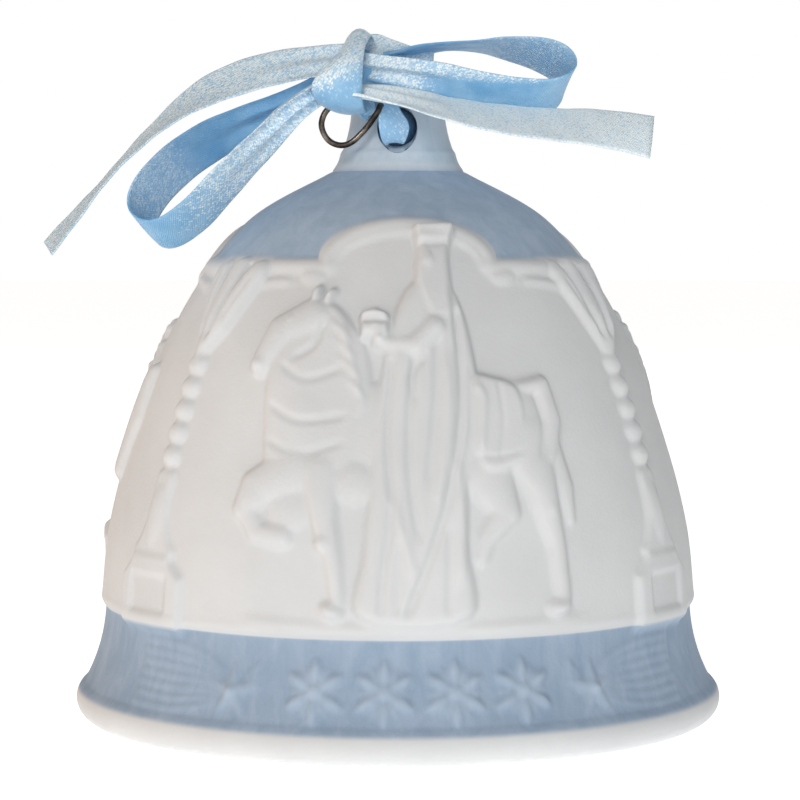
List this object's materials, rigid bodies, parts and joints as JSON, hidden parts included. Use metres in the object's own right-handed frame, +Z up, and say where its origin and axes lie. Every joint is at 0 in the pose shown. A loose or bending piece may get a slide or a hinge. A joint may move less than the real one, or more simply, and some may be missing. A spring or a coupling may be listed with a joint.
{
  "type": "christmas bell ornament",
  "caption": "Bisque porcelain bell ornament with relief panels and blue-grey bands, a wire-hung clapper, a wire hook and a tied satin ribbon bow.",
  "frame": {"origin": "centre of the rim plane, on the bell axis", "axes": "+Z up along the bell axis, -Y towards the front panel, +X to the right as seen from the front"},
  "size_m": [0.0794, 0.076, 0.0798],
  "materials": {
    "bell_bisque": "matte unglazed bisque, white with blue-grey bands",
    "clapper_bisque": "matte unglazed bisque",
    "clapper_steel": "plain drawn wire",
    "hook_wire": "dark tarnished wire",
    "ribbon_satin": "light-blue satin"
  },
  "bodies": {
    "bell": {"bell_body": "bell_bisque", "clapper_staple": "clapper_steel", "ribbon_neck_strand": "ribbon_satin", "ribbon_knot": "ribbon_satin", "ribbon_loop_left": "ribbon_satin", "ribbon_loop_right": "ribbon_satin", "ribbon_tail_left": "ribbon_satin", "ribbon_tail_right": "ribbon_satin"},
    "link": {"clapper_link": "clapper_steel"},
    "clapper": {"clapper_wire": "clapper_steel", "clapper_ball": "clapper_bisque"},
    "hook": {"ornament_hook": "hook_wire"}
  },
  "joints": [
    {"name": "clapper_swing_front_back", "type": "hinge", "parent": "bell", "child": "link", "pos_m": [0, 0, 0.0565], "axis": [1, 0, 0], "range_deg": [-25, 25]},
    {"name": "clapper_swing_side", "type": "hinge", "parent": "link", "child": "clapper", "pos_m": [0, 0, 0.05222], "axis": [0, 1, 0], "range_deg": [-25, 25]},
    {"name": "hook_swing", "type": "hinge", "parent": "bell", "child": "hook", "pos_m": [-0.00155, 0, 0.06985], "axis": [0, -1, 0], "range_deg": [-2, 25]}
  ]
}
